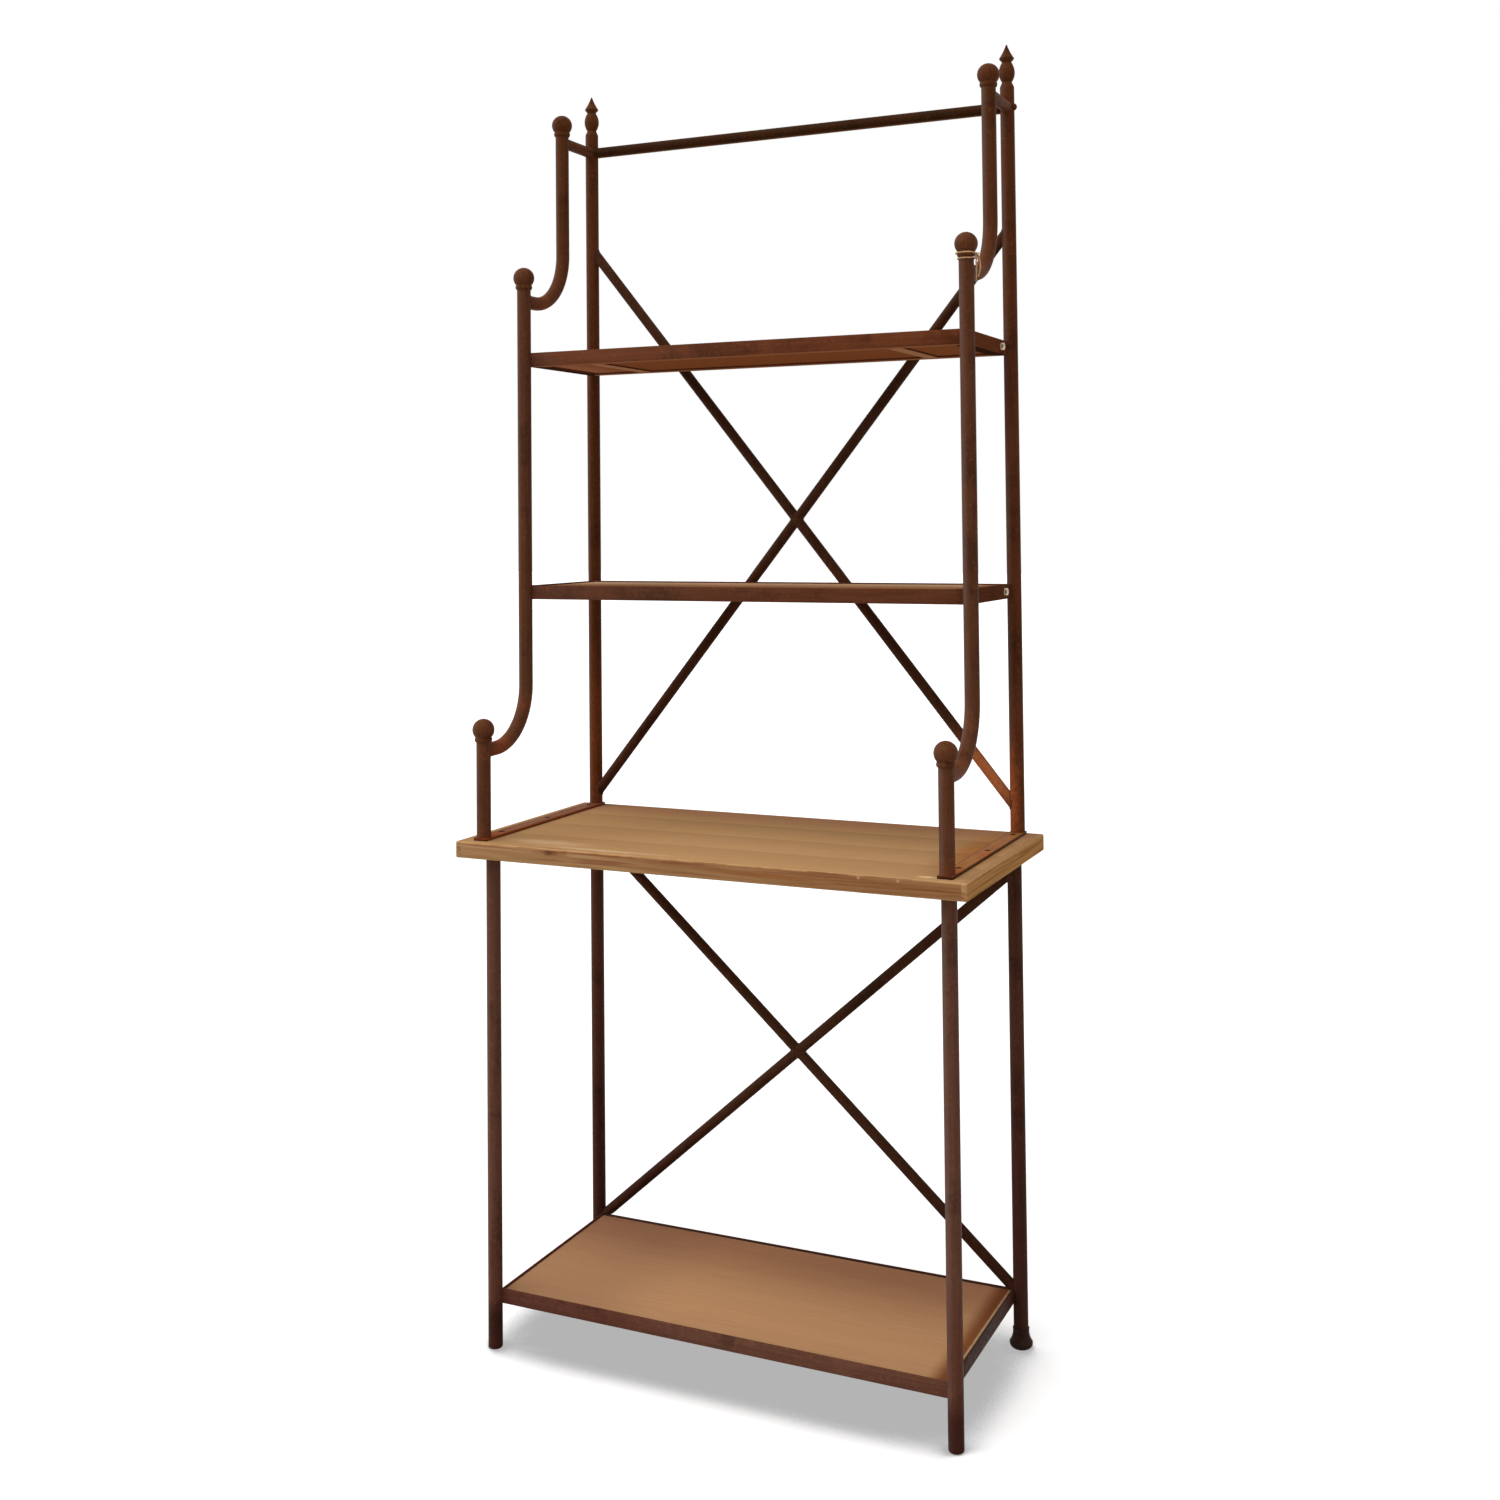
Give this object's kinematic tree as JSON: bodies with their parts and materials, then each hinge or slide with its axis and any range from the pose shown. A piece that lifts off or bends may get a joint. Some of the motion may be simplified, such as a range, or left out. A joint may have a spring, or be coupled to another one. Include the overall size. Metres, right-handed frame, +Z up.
{
  "type": "bakers rack",
  "caption": "Free-standing iron bakers rack with a wooden counter, a low shelf, two hutch shelves on stepped bent-tube posts, crossed rear braces and turned finials.",
  "frame": {"origin": "on the floor, under the middle of the counter, which is also the middle of the rack's bounding box", "axes": "+Z up; +Y from the open front to the braced rear; +X to the right as one stands in front of the rack"},
  "size_m": [0.935, 0.453, 2.296],
  "materials": {
    "iron": "dark rust-brown finish, worn to a softer brown on edges",
    "counter_wood": "warm brown waxed wood with fine grain",
    "shelf_wood": "warm brown waxed wood",
    "zinc": "bright zinc plate",
    "dark_screw": "blackened steel",
    "twine": "tan natural twine"
  },
  "bodies": {
    "root": {"ball_finials_front": "iron", "ball_finials_middle": "iron", "ball_finials_upper": "iron", "base_brace_halves": "iron", "base_brace_through": "iron", "bottom_shelf_panel": "shelf_wood", "bottom_shelf_rail_front": "iron", "bottom_shelf_rail_left": "iron", "bottom_shelf_rail_rear": "iron", "bottom_shelf_rail_right": "iron", "counter_bar_left": "iron", "counter_bar_right": "iron", "counter_bar_screws": "dark_screw", "counter_end_band_left": "counter_wood", "counter_end_band_right": "counter_wood", "counter_frame_front": "iron", "counter_frame_left": "iron", "counter_frame_rear": "iron", "counter_frame_right": "iron", "counter_frame_screws": "dark_screw", "counter_plank_front": "counter_wood", "counter_plank_mid_front": "counter_wood", "counter_plank_mid_rear": "counter_wood", "counter_plank_rear": "counter_wood", "front_feet": "iron", "front_post_left": "iron", "front_post_right": "iron", "hutch_brace_halves": "iron", "hutch_brace_through": "iron", "leg_front_left": "iron", "leg_front_right": "iron", "leg_rear_left": "iron", "leg_rear_right": "iron", "middle_post_left": "iron", "middle_post_right": "iron", "middle_shelf_panel": "shelf_wood", "middle_shelf_rail_front": "iron", "middle_shelf_rail_left": "iron", "middle_shelf_rail_rear": "iron", "middle_shelf_rail_right": "iron", "rear_feet": "iron", "rear_post_left": "iron", "rear_post_right": "iron", "shelf_lag_screws": "zinc", "shelf_washers": "zinc", "spear_finial_left": "iron", "spear_finial_right": "iron", "top_rail_bolts": "iron", "top_rail_left": "iron", "top_rail_rear": "iron", "top_rail_right": "iron", "twine_tie": "twine", "upper_post_left": "iron", "upper_post_right": "iron", "upper_shelf_bearers": "iron", "upper_shelf_panel": "shelf_wood", "upper_shelf_rail_front": "iron", "upper_shelf_rail_left": "iron", "upper_shelf_rail_rear": "iron", "upper_shelf_rail_right": "iron"}
  },
  "joints": []
}
